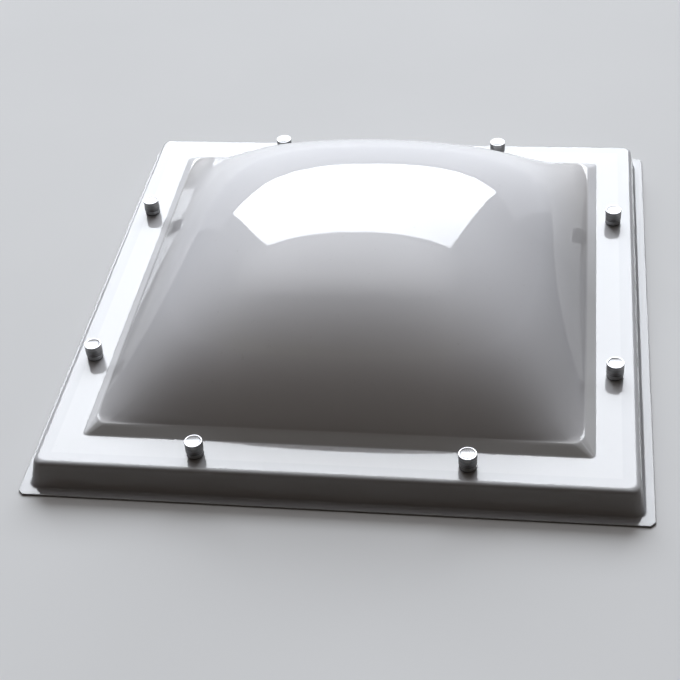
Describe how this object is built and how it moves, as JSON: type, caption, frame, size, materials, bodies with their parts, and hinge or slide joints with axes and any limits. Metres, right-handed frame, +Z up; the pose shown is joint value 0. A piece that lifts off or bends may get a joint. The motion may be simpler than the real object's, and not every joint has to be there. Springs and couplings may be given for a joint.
{
  "type": "roof skylight",
  "caption": "Square double-skinned opal dome rooflight with a flat flange, a sloping skirt with an out-turned lip, and capped fixing screws.",
  "frame": {"origin": "middle of the underside of the lip, on the surface that the skylight stands on", "axes": "+Z up, +Y to the back, +X to the right"},
  "size_m": [0.88, 0.88, 0.2195],
  "materials": {
    "outer_acrylic": "glossy opal acrylic sheet",
    "inner_acrylic": "glossy opal acrylic sheet",
    "spacer_foam": "white closed-cell foam tape",
    "seal_foam": "dark grey closed-cell foam",
    "washer_rubber": "black rubber",
    "clear_plastic": "clear moulded plastic",
    "screw_steel": "stainless steel",
    "cap_metal": "turned and polished, satin side"
  },
  "bodies": {
    "root": {"bases_back": "clear_plastic", "bases_front": "clear_plastic", "bases_left": "clear_plastic", "bases_right": "clear_plastic", "caps_back": "cap_metal", "caps_front": "cap_metal", "caps_left": "cap_metal", "caps_right": "cap_metal", "inner_skin": "inner_acrylic", "kerb_seal_back": "seal_foam", "kerb_seal_front": "seal_foam", "kerb_seal_left": "seal_foam", "kerb_seal_right": "seal_foam", "outer_skin": "outer_acrylic", "screws_back": "screw_steel", "screws_front": "screw_steel", "screws_left": "screw_steel", "screws_right": "screw_steel", "spacer_tape_back": "spacer_foam", "spacer_tape_front": "spacer_foam", "spacer_tape_left": "spacer_foam", "spacer_tape_right": "spacer_foam", "washers_back": "washer_rubber", "washers_front": "washer_rubber", "washers_left": "washer_rubber", "washers_right": "washer_rubber"}
  },
  "joints": []
}
